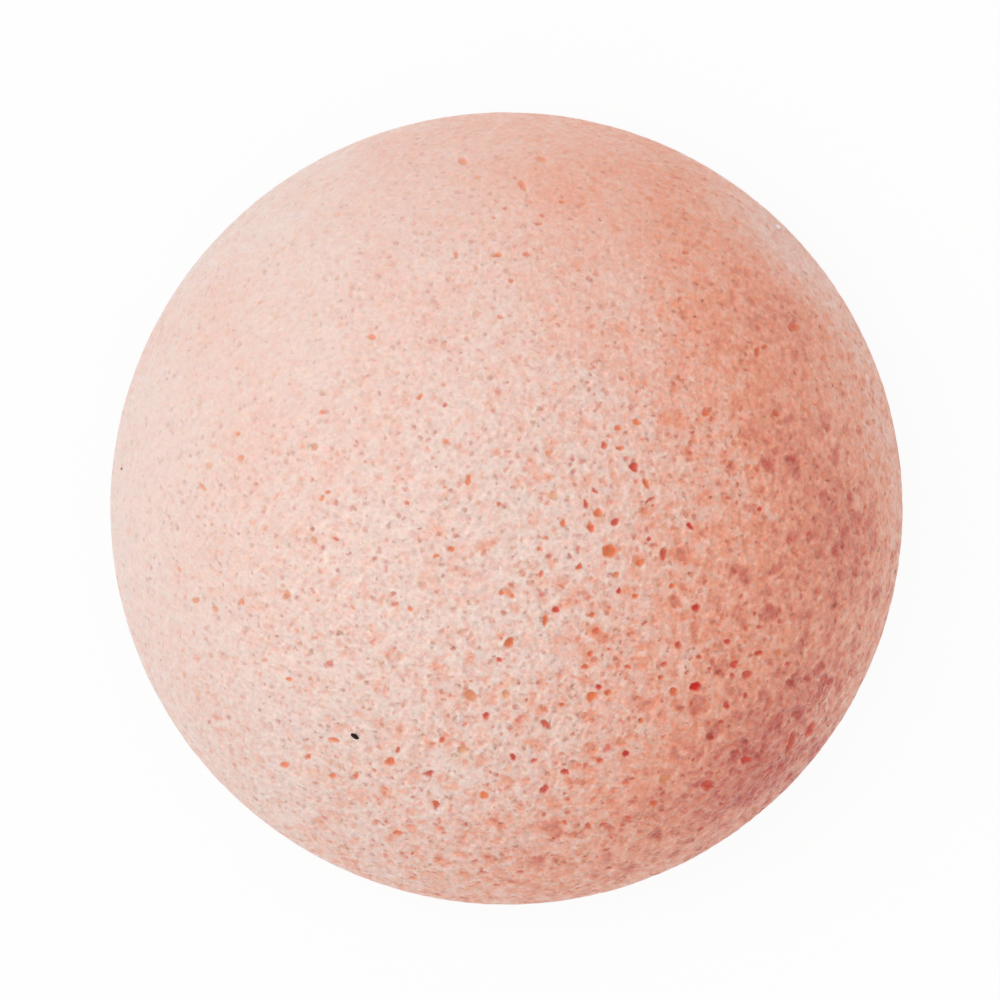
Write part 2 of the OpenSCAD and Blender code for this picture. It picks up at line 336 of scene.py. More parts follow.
def lattice_random(cell, seed):
    """The same random number from 0 to 1 for each whole-number cell, however often it is asked"""
    mixed = seed * SEED_FACTOR
    for axis, factor in enumerate(CELL_FACTORS):
        mixed = mixed ^ (cell[:, axis] * factor)
    mixed = (mixed & LOW_32_BITS).astype(np.uint64)
    for _ in range(2):
        mixed = (mixed ^ (mixed >> np.uint64(15))) * np.uint64(STIR_FACTOR) & np.uint64(LOW_32_BITS)
        mixed ^= mixed >> np.uint64(12)
    return (mixed & np.uint64(LOW_24_BITS)).astype(np.float64) / (LOW_24_BITS + 1)


def swells(points, width, seed):
    """Soft noise from 0 to 1 whose humps are about this wide"""
    place = points / width
    home = np.floor(place).astype(np.int64)
    part = place - home
    part = part * part * (3 - 2 * part)
    total = np.zeros(len(points))
    for corner in np.ndindex(2, 2, 2):
        weight = np.ones(len(points))
        for axis, side in enumerate(corner):
            weight *= part[:, axis] if side else 1 - part[:, axis]
        total += weight * lattice_random(home + np.array(corner), seed)
    return total


def ramp(value, low, high):
    """0 below low, 1 above high and a smooth step between them"""
    share = np.clip((value - low) / (high - low), 0, 1)
    return share * share * (3 - 2 * share)


def hearts(points, spacing, seed):
    """The middles of the bubbles round each point, one bubble in each cube of this spacing"""
    home = np.floor(points / spacing).astype(np.int64)
    for step in np.ndindex(3, 3, 3):
        cube = home + np.array(step) - 1
        heart = (cube + np.stack([lattice_random(cube, seed + k) for k in range(3)], 1)) * spacing
        yield cube, heart - points


class HalfBall:
    """The half ball's section, followed from the top of the dome over the edge to the back's middle"""

    def __init__(self, foam):
        self.edge = foam.edge
        self.back_r = foam.width / 2 - foam.edge
        self.dome_r = (self.back_r**2 + (foam.height - foam.edge) ** 2 - foam.edge**2) / (
            2 * (foam.height - 2 * foam.edge)
        )
        self.dome_z = foam.height - self.dome_r
        self.meet = math.atan2(foam.edge - self.dome_z, self.back_r)
        self.dome_end = self.dome_r * (math.pi / 2 - self.meet)
        self.edge_end = self.dome_end + foam.edge * (math.pi / 2 + self.meet)
        self.end = self.edge_end + self.back_r

    def at(self, along):
        """Radius, height and outward direction at lengths along the section"""
        dome = along / self.dome_r
        edge = self.meet - (along - self.dome_end) / self.edge
        where = [along < self.dome_end, along < self.edge_end]
        radius = np.select(
            where,
            [self.dome_r * np.sin(dome), self.back_r + self.edge * np.cos(edge)],
            np.maximum(self.end - along, 0),
        )
        height = np.select(
            where, [self.dome_z + self.dome_r * np.cos(dome), self.edge + self.edge * np.sin(edge)], 0.0
        )
        out = np.select(where, [np.sin(dome), np.cos(edge)], 0.0)
        up = np.select(where, [np.cos(dome), np.sin(edge)], -1.0)
        return radius, height, out, up

    def seat(self, right, up, turn):
        """The frame of a chip that lies in the dome's skin, with Z pointing out of it"""
        x, y = right * (self.back_r + self.edge), up * (self.back_r + self.edge)
        way = math.atan2(y, x)
        return (
            Matrix.Translation((0, 0, self.dome_z))
            @ Matrix.Rotation(way, 4, "Z")
            @ Matrix.Rotation(math.asin(math.hypot(x, y) / self.dome_r), 4, "Y")
            @ Matrix.Translation((0, 0, self.dome_r))
            @ Matrix.Rotation(math.radians(turn) - way, 4, "Z")
        )


def camera_place(ball, stage):
    """Where the camera stands, so that the outline lies where the photograph has it"""
    per_pixel = (ball.back_r + ball.edge) / OUTLINE_R
    return (
        (PHOTO_SIDE / 2 - OUTLINE_X) * per_pixel,
        (OUTLINE_Y - PHOTO_SIDE / 2) * per_pixel,
        stage.camera_height,
    )


def seen_place(ball, stage, x, y):
    """The point of the dome that the photograph shows at a pixel, and the outward direction there"""
    per_pixel = (ball.back_r + ball.edge) / OUTLINE_R / (stage.camera_height - ball.edge)
    way = np.array([(x - PHOTO_SIDE / 2) * per_pixel, (PHOTO_SIDE / 2 - y) * per_pixel, -1.0])
    middle = np.array([0, 0, ball.dome_z])
    eye = np.array(camera_place(ball, stage)) - middle
    skin_r = ball.dome_r - MEAN_DEPTH
    a, b = way @ way, way @ eye
    far = (-b - math.sqrt(max(b * b - a * (eye @ eye - skin_r**2), 0))) / a
    outward = (eye + far * way) / skin_r
    return middle + outward * ball.dome_r, outward


def ring_mesh(ball, foam, rng):
    """Rings of evenly spread points from the top of the dome to the middle of the back: where each
    point lies along the section and round it, and the triangles between the rings"""
    coarse = 1
    dome_gap, back_gap = foam.spacing * coarse, foam.back_spacing * coarse
    dome_steps = round(ball.edge_end / dome_gap)
    back_steps = round((ball.end - ball.edge_end) / back_gap)
    along = np.concatenate(
        [
            np.linspace(0, ball.edge_end, dome_steps + 1),
            np.linspace(ball.edge_end, ball.end, back_steps + 1)[1:],
        ]
    )
    gap = np.where(along <= ball.edge_end, dome_gap, back_gap)
    counts = np.maximum(np.round(2 * np.pi * ball.at(along)[0] / gap), 6).astype(int)
    counts[[0, -1]] = 1
    first = np.concatenate([[0], np.cumsum(counts)])
    ring = np.repeat(np.arange(len(along)), counts)
    start = rng.random(len(along))
    # Points are moved a little off their even places, so that no rings show
    loose = rng.uniform(-0.22, 0.22, (2, len(ring)))
    loose[:, [0, -1]] = 0
    loose[1, ring == dome_steps] = 0
    turn = (np.arange(len(ring)) - first[ring] + start[ring] + loose[0]) / counts[ring]
    length = along[ring] + loose[1] * gap[ring]
    triangles = []
    for i in range(len(along) - 1):
        a, b, n, m = first[i], first[i + 1], counts[i], counts[i + 1]
        tip = np.round((np.arange(n) + 0.5 + start[i]) / n * m - start[i + 1]).astype(int)
        if n > 1:
            k = np.arange(n)
            triangles.append(np.stack([a + k, b + tip % m, a + (k + 1) % n], 1))
        if m > 1:
            j = tip[0] + np.arange(m)
            passed = np.searchsorted(tip, j, side="right") % n
            triangles.append(np.stack([a + passed, b + j % m, b + (j + 1) % m], 1))
    return length, turn * 2 * np.pi, np.concatenate(triangles)


class Foam:
    """The foam's skin: its points, how deep each lies under the smooth half ball, and what tints it"""

    def __init__(self, ball, foam, rng):
        self.ball = ball
        self.length, self.turn, self.triangles = ring_mesh(ball, foam, rng)
        radius, height, out, up = ball.at(self.length)
        east, north = np.cos(self.turn), np.sin(self.turn)
        self.skin = np.stack([radius * east, radius * north, height], 1)
        self.outward = np.stack([out * east, out * north, up], 1)
        lattice = np.array(Euler(LATTICE_TURN).to_matrix())
        self.place = self.skin / (1, 1, TALL) @ lattice
        self.place_out = self.outward @ lattice
        self.depth, self.open, self.hue = np.zeros((3, len(self.skin)))
        self.lip, self.clay, self.coarse = np.zeros((3, len(self.skin)))
        self.tree = kdtree.KDTree(len(self.skin))
        for i, point in enumerate(self.skin):
            self.tree.insert(point, i)
        self.tree.balance()

    def sink_and_shade(self, rows, depth, tint, hue):
        """Sinks points that aren't deeper already, and tints them with the painted shade of a pit"""
        self.depth[rows] = np.maximum(self.depth[rows], depth)
        stronger = tint > self.open[rows]
        self.hue[rows] = np.where(stronger, hue, self.hue[rows])
        self.open[rows] = np.maximum(self.open[rows], tint)

    def bent(self, width, most, seed):
        """The skin's places in the lattice, moved by soft noise, so that no bubble drawn from them is
        round"""
        shift = [swells(self.place, width, seed + k) - 0.5 for k in range(3)]
        return self.place + 2 * most * np.stack(shift, 1)

    def add_cells(self, spacing, deepest, dyed, seed):
        """Cells packed side by side, each sunk by its own amount and with a share of clay that grows with
        its depth, partly clay and partly painted shade in the hollow
        """
        nearest = np.full(len(self.skin), np.inf)
        second, drawn = nearest.copy(), np.zeros(len(self.skin))
        for cube, away in hearts(self.bent(0.7 * spacing, 0.35 * spacing, seed), spacing, seed + 10):
            far = np.sqrt((away**2).sum(1))
            drawn = np.where(far < nearest, lattice_random(cube, seed + 20), drawn)
            second = np.minimum(second, np.maximum(nearest, far))
            nearest = np.minimum(nearest, far)
        inside = ramp((second - nearest) / spacing, 0.0, 0.6)
        kept = FINE_PIT_SHARE + (1 - FINE_PIT_SHARE) * self.coarse
        self.depth += deepest * kept * drawn * inside
        self.clay += dyed * (drawn * inside - MEAN_FILL)

    def add_bubbles(self, spacing, smallest, largest, tinted, seed):
        """Bubbles strewn through the foam, about one in each cube of this spacing. Where the skin cuts one
        it stands open, and its inside gets a tint of painted shade."""
        rows = np.arange(len(self.skin))
        for cube, away in hearts(self.bent(0.5 * MM, 0.24 * MM, seed), spacing, seed + 10):
            radius = smallest + (largest - smallest) * lattice_random(cube, seed + 20) ** 2
            above = (away * self.place_out).sum(1)
            far = np.sqrt((away**2).sum(1))
            cut = rows[far < radius]
            across = far[cut] ** 2 - above[cut] ** 2
            depth = np.sqrt(np.maximum(radius[cut] ** 2 - across, 0)) - above[cut]
            most = BUBBLE_DEPTH_SHARE + COARSE_DEPTH_SHARE * self.coarse[cut]
            depth = np.minimum(depth, most * radius[cut])
            strength = 0.3 + 0.7 * lattice_random(cube[cut], seed + 30)
            mouth = 1 - ramp(far[cut] / radius[cut], 0.45, 1.0)
            hue = (0.05 + 0.9 * self.coarse[cut]) * lattice_random(cube[cut], seed + 40)
            self.sink_and_shade(cut, depth, mouth * tinted[cut] * strength, hue)
            lip = rows[(far >= radius) & (far < BUBBLE_LIP_REACH * radius)]
            faded = ramp(far[lip] / radius[lip], 1.0, BUBBLE_LIP_REACH)
            self.lip[lip] = np.maximum(self.lip[lip], BUBBLE_LIP - BUBBLE_LIP * faded)

    def add_pore(self, middle, outward, length, width, turn, hue, rng):
        """One open pore with an uneven mouth and steep sides. Its length and width are as seen from
        above or below, and on the foam's sides it is up to twice as tall as it looks from there."""
        lobes = [(k, rng.uniform(0.03, 0.3 / k), rng.uniform(0, 2 * math.pi)) for k in (2, 3, 5)]
        rows = np.array([hit[1] for hit in self.tree.find_range(Vector(middle), 1.5 * length)], int)
        away = (self.skin[rows] - middle)[:, :2]
        level = abs(outward[2])
        if level < 0.5:
            slope = outward[:2] / np.linalg.norm(outward[:2])
            away = away + np.outer(away @ slope, slope) * (0.5 / level - 1)
        a, b = away.T
        c, s = math.cos(math.radians(turn)), math.sin(math.radians(turn))
        along, across = (a * c + b * s) / (length / 2), (b * c - a * s) / (width / 2)
        angle = np.arctan2(across, along)
        uneven = 1 + sum(size * np.cos(k * angle + off) for k, size, off in lobes)
        out = np.hypot(along, across) * uneven
        depth = PORE_DEPTH_SHARE * math.sqrt(length * width) * np.clip(1 - out**2, 0, 1) ** PORE_FULLNESS
        # In fine foam the pores are shallower and paler
        much = FINE_PORE_SHARE + (1 - FINE_PORE_SHARE) * self.coarse[rows]
        self.sink_and_shade(rows, much * depth, much * (1 - ramp(out, 0.7, 1.1)), much * hue)
        pale = PORE_LIP * np.exp(-(((out - PORE_LIP_PLACE) / PORE_LIP_WIDTH) ** 2))
        self.lip[rows] = np.maximum(self.lip[rows], pale)

    def add_strokes(self, width, most, seed):
        """Short pale strokes, painted glints, along the lines where soft noise is neither high nor low"""
        line = 1 - ramp(np.abs(swells(self.place, width, seed) - 0.5), 0.0, 0.08)
        broken = ramp(swells(self.place, 0.7 * width, seed + 10), 0.5, 0.65)
        self.lip = np.maximum(self.lip, most * line * broken)

    def dig_seat(self, seat, length, width, thickness):
        """The hollow that a fleck or grain lies in"""
        inward = seat.inverted()
        for _, i, _ in self.tree.find_range(seat.translation, length):
            x, y, _ = inward @ Vector(self.skin[i])
            out = math.hypot(x / length, y / width) / SEAT_HALF_SHARE
            if out < 1:
                depth = SEAT_DEPTH_SHARE * thickness * math.sqrt(1 - out**2)
                self.depth[i] = max(self.depth[i], depth)

    def mesh(self, name):
        """The Blender mesh of the foam, with its flat maps and the values that colour it"""
        mesh = bpy.data.meshes.new(name)
        mesh.from_pydata(self.skin - self.outward * self.depth[:, None], [], self.triangles)
        for label in LAYERS:
            layer = mesh.attributes.new(label, "FLOAT", "POINT")
            layer.data.foreach_set("value", getattr(self, label).astype(np.float32))
        self.lay_flat(mesh)
        mesh.shade_smooth()
        return mesh

    def lay_flat(self, mesh):
        """Two round maps in opposite corners of the square, one of the dome with its edge and one of
        the back"""
        ball = self.ball
        corners = self.triangles.ravel()
        on_back = np.repeat(self.length[self.triangles].mean(1) > ball.edge_end, 3)
        length, turn = self.length[corners], self.turn[corners]
        room = MAP_SHARE / (ball.edge_end + ball.back_r)
        from_middle = np.where(on_back, ball.end - length, length) * room
        on_dome, under = ball.edge_end * room * MAP_MARGIN, ball.back_r * room * MAP_MARGIN
        middle = np.where(on_back, 1 - under, on_dome)
        places = np.stack([middle + from_middle * np.cos(turn), middle + from_middle * np.sin(turn)], 1)
        mesh.uv_layers.new(name="OFBake").data.foreach_set("uv", places.astype(np.float32).ravel())


def foam_material(settings):
    """Konjac foam, set, frozen and thawed in a half-round mould: a moist gel of small closed cells. Thin
    walls look pale, and cells that hold more clay look salmon. The clay also carries painted shade and
    painted rim sheen, and the colour inside the pits is painted shade."""
    material, tree, output = new_material("konjac_foam_moulded")
    place = add_node(tree, "ShaderNodeTexCoord").outputs["Object"]
    place = add_node(
        tree,
        "ShaderNodeMapping",
        {"Vector": place, "Rotation": LATTICE_TURN, "Scale": (1, 1, 1 / TALL)},
    ).outputs[0]
    pit_shade, hue, lip, clay, coarse = (
        add_node(tree, "ShaderNodeAttribute", attribute_name=label).outputs["Fac"] for label in LAYERS
    )
    # These grow with coarseness, from the share that the finest foam has
    uneven, stained, warmth, relief = (
        add_node(tree, "ShaderNodeMapRange", {"Value": coarse, "To Min": least}).outputs["Result"]
        for least in (0.25, 0.3, 0.4, 0.6)
    )

    # Small patches with more and less clay
    cloud = add_node(
        tree,
        "ShaderNodeTexNoise",
        {"Vector": place, "Scale": 1 / CLAY_PATCH, "Detail": 2.0, "Roughness": 0.6},
    ).outputs["Fac"]
    patch = add_node(
        tree,
        "ShaderNodeMapRange",
        {"Value": cloud, "From Min": 0.3, "From Max": 0.7, "To Min": -0.28, "To Max": 0.28},
    ).outputs["Result"]
    # The clay layer picks between pale, salmon and brick. It holds the clay's own tint and also painted
    # light: shade on the side away from the lamp and in sunk cells, and rim sheen where it is thin by the
    # outline
    share = add_node(
        tree, "ShaderNodeMath", {0: patch, 1: uneven, 2: clay}, operation="MULTIPLY_ADD"
    ).outputs[0]
    share = add_node(tree, "ShaderNodeMapRange", {"Value": share, "From Max": 2.0}).outputs["Result"]
    wall = add_node(
        tree,
        "ShaderNodeValToRGB",
        {"Fac": share},
        stops=[(0.0, (*settings.pale, 1)), (1.0, (*settings.brick, 1)), (0.5, (*settings.salmon, 1))],
    ).outputs["Color"]

    # Closed bubbles just under the skin show through it as soft specks
    bend = add_node(tree, "ShaderNodeTexNoise", {"Vector": place, "Scale": 1 / BUBBLE_BEND, "Detail": 1.0})
    bent = add_node(
        tree,
        "ShaderNodeVectorMath",
        {0: bend.outputs["Color"], 1: (BUBBLE_SHIFT,) * 3, 2: place},
        operation="MULTIPLY_ADD",
    ).outputs[0]
    bubble = add_node(tree, "ShaderNodeTexVoronoi", {"Vector": bent, "Scale": 1 / CLOSED_BUBBLE})
    drawn = add_node(tree, "ShaderNodeSeparateColor", {"Color": bubble.outputs["Color"]}).outputs
    radius = add_node(
        tree, "ShaderNodeMapRange", {"Value": drawn[0], "To Min": 0.25, "To Max": 0.55}
    ).outputs["Result"]
    speck = add_node(
        tree, "ShaderNodeMath", {0: bubble.outputs["Distance"], 1: radius}, operation="DIVIDE"
    ).outputs[0]
    speck = add_node(
        tree,
        "ShaderNodeMapRange",
        {"Value": speck, "From Min": 0.15, "From Max": 1.0, "To Min": 1.0, "To Max": 0.0},
        interpolation_type="SMOOTHSTEP",
    ).outputs["Result"]
    speck = add_node(tree, "ShaderNodeMath", {0: speck, 1: drawn[1]}, operation="MULTIPLY").outputs[0]
    stained = add_node(tree, "ShaderNodeMath", {0: stained, 1: speck}, operation="MULTIPLY").outputs[0]
    # In fine foam the specks are tan, and in coarse foam they run on to pink and orange
    warmth = add_node(tree, "ShaderNodeMath", {0: warmth, 1: drawn[2]}, operation="MULTIPLY").outputs[0]
    own = add_node(
        tree,
        "ShaderNodeValToRGB",
        {"Fac": warmth},
        stops=[
            (0.0, (*linear("#E8CDAC"), 1)),
            (1.0, (*linear("#F5A578"), 1)),
            (0.3, (*linear("#DDB096"), 1)),
            (0.65, (*linear("#E38F84"), 1)),
        ],
    ).outputs["Color"]
    wall = add_node(
        tree, "ShaderNodeMix", {0: stained, 6: wall, 7: own}, data_type="RGBA", blend_type="MULTIPLY"
    ).outputs[2]

    # Thin walls between the bubbles show here and there as pale flecks, and less so where the gel
    # is dense with clay
    thin = add_node(
        tree, "ShaderNodeTexNoise", {"Vector": bent, "Scale": 1 / WALL_FLECK, "Detail": 0.0}
    ).outputs["Fac"]
    thin = add_node(
        tree,
        "ShaderNodeMapRange",
        {"Value": thin, "From Min": 0.5, "From Max": 0.8},
        interpolation_type="SMOOTHSTEP",
    ).outputs["Result"]
    thin = add_node(tree, "ShaderNodeMath", {0: thin, 1: uneven}, operation="MULTIPLY").outputs[0]
    clear = add_node(
        tree,
        "ShaderNodeMapRange",
        {"Value": share, "From Min": 0.2, "From Max": 0.7, "To Min": 1.0, "To Max": 0.3},
    ).outputs["Result"]
    thin = add_node(tree, "ShaderNodeMath", {0: thin, 1: clear}, operation="MULTIPLY").outputs[0]
    # The lip layer holds pale lips round pores and bubbles, and also the painted glints
    paled = add_node(tree, "ShaderNodeMath", {0: thin, 1: lip}, operation="MAXIMUM").outputs[0]
    paled = add_node(tree, "ShaderNodeMath", {0: paled, 1: 0.4}, operation="MULTIPLY").outputs[0]
    wall = add_node(
        tree, "ShaderNodeMix", {0: paled, 6: wall, 7: (*settings.cream, 1)}, data_type="RGBA"
    ).outputs[2]

    # Painted shade inside pores and cut bubbles, from tan over orange and rose to crimson
    inside = add_node(
        tree,
        "ShaderNodeValToRGB",
        {"Fac": hue},
        stops=[
            (0.0, (*settings.tan, 1)),
            (1.0, (*settings.crimson, 1)),
            (0.2, (*settings.orange, 1)),
            (0.7, (*settings.rosy, 1)),
        ],
    ).outputs["Color"]
    tinted = add_node(tree, "ShaderNodeMix", {0: pit_shade, 6: wall, 7: inside}, data_type="RGBA").outputs[2]

    # The gel has a grain, which dims and brightens it a little, and it sags over the bubbles
    grain = add_node(
        tree, "ShaderNodeTexNoise", {"Vector": place, "Scale": 1 / GEL_GRAIN, "Detail": 1.0}
    ).outputs["Fac"]
    dimmed = add_node(
        tree,
        "ShaderNodeMapRange",
        {"Value": grain, "From Min": 0.3, "From Max": 0.7, "To Min": 0.9, "To Max": 1.1},
    ).outputs["Result"]
    tinted = add_node(
        tree, "ShaderNodeHueSaturation", {"Color": tinted, "Value": dimmed, "Fac": uneven}
    ).outputs["Color"]
    height = add_node(
        tree, "ShaderNodeMath", {0: speck, 1: -0.6, 2: grain}, operation="MULTIPLY_ADD"
    ).outputs[0]
    bump = add_node(
        tree, "ShaderNodeBump", {"Height": height, "Strength": relief, "Distance": 0.25 * MM}
    ).outputs["Normal"]
    # Some of the gel is wetter than the rest
    damp = add_node(
        tree,
        "ShaderNodeMapRange",
        {"Value": cloud, "From Min": 0.35, "From Max": 0.65, "To Min": 0.35, "To Max": 0.65},
    ).outputs["Result"]
    shader = add_node(
        tree,
        "ShaderNodeBsdfPrincipled",
        {
            "Base Color": tinted,
            "Roughness": damp,
            "IOR": GEL_IOR,
            "Subsurface Weight": 0.3,
            "Subsurface Radius": (1.0, 0.3, 0.15),
            "Subsurface Scale": 2 * MM,
            "Sheen Weight": 0.4,
            "Sheen Roughness": 0.4,
            "Sheen Tint": (1.0, 0.94, 0.9, 1.0),
            "Normal": bump,
        },
    )
    tree.links.new(shader.outputs["BSDF"], output.inputs["Surface"])
    return material


def skin_material(settings):
    """Dried skin of the konjac corm, ground with the flour: near black, fibrous and dull. A film of
    gel over the small bits turns them brown"""
    material, tree, output = new_material("corm_skin_dried")
    place = add_node(tree, "ShaderNodeTexCoord").outputs["Object"]
    fibres = add_node(
        tree, "ShaderNodeTexNoise", {"Vector": place, "Scale": 1 / SKIN_FIBRE, "Detail": 3.0}
    ).outputs["Fac"]
    brown = add_node(
        tree,
        "ShaderNodeMix",
        {0: fibres, 6: (*settings.skin, 1), 7: (*linear("#2A1610"), 1)},
        data_type="RGBA",
    ).outputs[2]
    veil = add_node(tree, "ShaderNodeAttribute", attribute_name="veil").outputs["Fac"]
    veil = add_node(
        tree, "ShaderNodeMapRange", {"Value": veil, "From Max": 0.5, "To Max": 0.75}
    ).outputs["Result"]
    brown = add_node(
        tree, "ShaderNodeMix", {0: veil, 6: brown, 7: (*settings.veil, 1)}, data_type="RGBA"
    ).outputs[2]
    bump = add_node(
        tree, "ShaderNodeBump", {"Height": fibres, "Strength": 0.6, "Distance": 0.03 * MM}
    ).outputs["Normal"]
    shader = add_node(
        tree,
        "ShaderNodeBsdfPrincipled",
        {"Base Color": brown, "Roughness": 0.75, "Specular IOR Level": 0.25, "Normal": bump},
    )
    tree.links.new(shader.outputs["BSDF"], output.inputs["Surface"])
    return material


def flour_material(settings):
    """Konjac flour, swollen but not dissolved: a whitish grain of gel that lets light through"""
    material, tree, output = new_material("konjac_flour_swollen")
    place = add_node(tree, "ShaderNodeTexCoord").outputs["Object"]
    clots = add_node(
        tree, "ShaderNodeTexNoise", {"Vector": place, "Scale": 1 / FLOUR_CLOT, "Detail": 2.0}
    ).outputs["Fac"]
    white = add_node(
        tree,
        "ShaderNodeMix",
        {0: clots, 6: (*settings.flour, 1), 7: (*linear("#F6F0EE"), 1)},
        data_type="RGBA",
    ).outputs[2]
    bump = add_node(
        tree, "ShaderNodeBump", {"Height": clots, "Strength": 0.5, "Distance": 0.04 * MM}
    ).outputs["Normal"]
    shader = add_node(
        tree,
        "ShaderNodeBsdfPrincipled",
        {
            "Base Color": white,
            "Roughness": 0.4,
            "IOR": GEL_IOR,
            "Subsurface Weight": 0.5,
            "Subsurface Scale": 0.5 * MM,
            "Normal": bump,
        },
    )
    tree.links.new(shader.outputs["BSDF"], output.inputs["Surface"])
    return material


def chip_mesh(name, ball, rows, length, width, thickness, rng):
    """Uneven lens-shaped chips, each let into the dome's skin where its row of shares says. The
    smaller a chip is, the more the gel veils it."""
    points, faces, veils = [], [], []
    rings, sides = 7, 22
    for right, up, size, turn in rows:
        seat = ball.seat(right, up, turn)
        lobes = [(k, rng.uniform(0.02, 0.16 / k), rng.uniform(0, 2 * math.pi)) for k in (2, 3, 4, 5)]
        first = len(points)
        for i in range(rings + 1):
            belt = math.pi * i / rings
            for j in range(1 if i in (0, rings) else sides):
                turned = 2 * math.pi * j / sides
                uneven = 1 + sum(share * math.cos(k * turned + off) for k, share, off in lobes)
                flat = CHIP_HALF_SHARE * size * math.sin(belt) ** 0.8
                reach = flat * uneven * rng.uniform(0.95, 1.05)
                x, y = reach * length * math.cos(turned), reach * width * math.sin(turned)
                z = size * thickness * (CHIP_HALF_SHARE * math.cos(belt) - CHIP_SUNK_SHARE)
                points.append(seat @ Vector((x, y, z)))
        veils += [1 - size] * (len(points) - first)
        last = len(points) - 1
        lowest = first + 1 + (rings - 2) * sides
        for j in range(sides):
            after = (j + 1) % sides
            faces.append((first, first + 1 + j, first + 1 + after))
            faces.append((last, lowest + after, lowest + j))
            for i in range(rings - 2):
                low, high = first + 1 + i * sides, first + 1 + (i + 1) * sides
                faces.append((low + j, high + j, high + after, low + after))
    mesh = bpy.data.meshes.new(name)
    mesh.from_pydata(points, [], faces)
    mesh.attributes.new("veil", "FLOAT", "POINT").data.foreach_set("value", veils)
    mesh.shade_smooth()
    return mesh


def chip_sizes(chips):
    """Length, width and thickness of the largest fleck, and those of the grain"""
    fleck = chips.fleck_length, chips.fleck_width, chips.fleck_thickness
    grain = chips.grain_length, chips.grain_width, chips.grain_thickness
    return fleck, grain


def nearness(foam, stage, x, y, reach):
    """1 at a place of the photograph's frame, fading to nothing over this reach in millimetres"""
    away = foam.skin - seen_place(foam.ball, stage, x, y)[0]
    return np.exp(-(away**2).sum(1) / (reach * MM) ** 2)


def spread_clay_and_shade(foam, settings, stage):
    """Lays the clay denser towards one low side, away from the lamp, which is partly painted shade, and
    makes the cells coarser there
    """
    place = foam.skin / (settings.width / 2)
    foam.clay = ramp(place @ np.array(CLAY_AND_SHADE_WAY), *CLAY_AND_SHADE_SPAN)
    foam.clay += CLAY_BASE + DRIFT_CLAY * (swells(foam.skin, DRIFT_WIDTH, 500) - 0.5)
    # Blotches of clay and painted shade, and below zero of painted rim sheen
    for x, y, reach, more in CLAY_AND_LIGHT_BLOTCHES:
        foam.clay += more * nearness(foam, stage, x, y, reach)
    coarse = ramp(place @ np.array(COARSE_WAY), *COARSE_SPAN)
    foam.coarse = COARSE_LEAST + (1 - COARSE_LEAST) * coarse


def open_pores(foam, settings, stage, rng):
    """Opens the pores of the dome, and the wide and narrow ones of the back"""
    for x, y, length, width, turn, hue in PORES:
        middle, outward = seen_place(foam.ball, stage, x, y)
        foam.add_pore(middle, outward, length * MM, width * MM, turn, hue, rng)
    for i in range(1, settings.back_pores + 1):
        size = settings.back_pore * (1 - (1 - NARROW_SHARE) * (i * MIX_SHARE % 1))
        reach = BACK_REACH_SHARE * foam.ball.back_r * math.sqrt(i / settings.back_pores)
        middle = np.array([reach * math.cos(i * GOLDEN_TURN), reach * math.sin(i * GOLDEN_TURN), 0.0])
        facing = np.array([0.0, 0.0, -1.0])
        turn, hue = 180 * rng.random(), rng.random() ** 2
        foam.add_pore(middle, facing, size, SLIM_SHARE * size, turn, hue, rng)


class SPONGE_OT_half_ball(Operator):
    """Makes the half ball of konjac foam with its bubbles and open pores"""

    bl_idname = "sponge.half_ball"
    bl_label = "Half ball of foam"

    def execute(self, context):
        settings, stage = context.scene.sponge_foam, context.scene.sponge_stage
        rng = np.random.default_rng(settings.seed)
        foam = Foam(HalfBall(settings), settings, rng)
        spread_clay_and_shade(foam, settings, stage)
        for spacing, deepest, least, more, power, seed in CELLS:
            foam.add_cells(spacing * MM, deepest * MM, least + more * foam.coarse**power, seed)
        for spacing, smallest, largest, least, more, seed in BUBBLES:
            tinted = least + more * foam.coarse
            foam.add_bubbles(spacing * MM, smallest * MM, largest * MM, tinted, seed)
        open_pores(foam, settings, stage, rng)
        for width, depth, more, seed in HUMPS:
            foam.depth += (depth + more * foam.coarse) * MM * swells(foam.place, width * MM, seed)
        # The photograph's outline is smooth, so the relief is lower on the steep sides
        level = ramp(np.abs(foam.outward[:, 2]), 0.1, 0.5)
        foam.depth *= SIDE_RELIEF_SHARE + (1 - SIDE_RELIEF_SHARE) * level
        # Painted glints: pale strokes that stand in for highlights on wet ridges
        for x, y, reach in PAINTED_GLINTS:
            foam.add_strokes(STROKE_WIDTH, STROKE_STRENGTH * nearness(foam, stage, x, y, reach), 700)
        for rows, sizes in zip((FLECKS, [GRAIN]), chip_sizes(context.scene.sponge_chips)):
            for right, up, share, turn in rows:
                foam.dig_seat(foam.ball.seat(right, up, turn), *[share * size for size in sizes])
        piece = new_piece("foam_half_ball", foam.mesh("foam_half_ball"), foam_material(settings))
        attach(piece, "root")
        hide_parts("sponge_body")
        return {"FINISHED"}


class SPONGE_OT_chips(Operator):
    """Makes the dark flecks and the pale grain that lie in the foam"""

    bl_idname = "sponge.chips"
    bl_label = "Flecks and grain"

    def execute(self, context):
        chips = context.scene.sponge_chips
        ball = HalfBall(context.scene.sponge_foam)
        rng = np.random.default_rng(context.scene.sponge_foam.seed)
        fleck, grain = chip_sizes(chips)
        for name, node, slot, rows, sizes, material in (
            ("skin_flecks", "corm_flecks", "corm_skin", FLECKS, fleck, skin_material(chips)),
            ("flour_grain", "konjac_grain", "konjac_flour", [GRAIN], grain, flour_material(chips)),
        ):
            piece = new_piece(name, chip_mesh(name, ball, rows, *sizes, rng), material)
            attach(piece, "root")
            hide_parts(node)
        return {"FINISHED"}


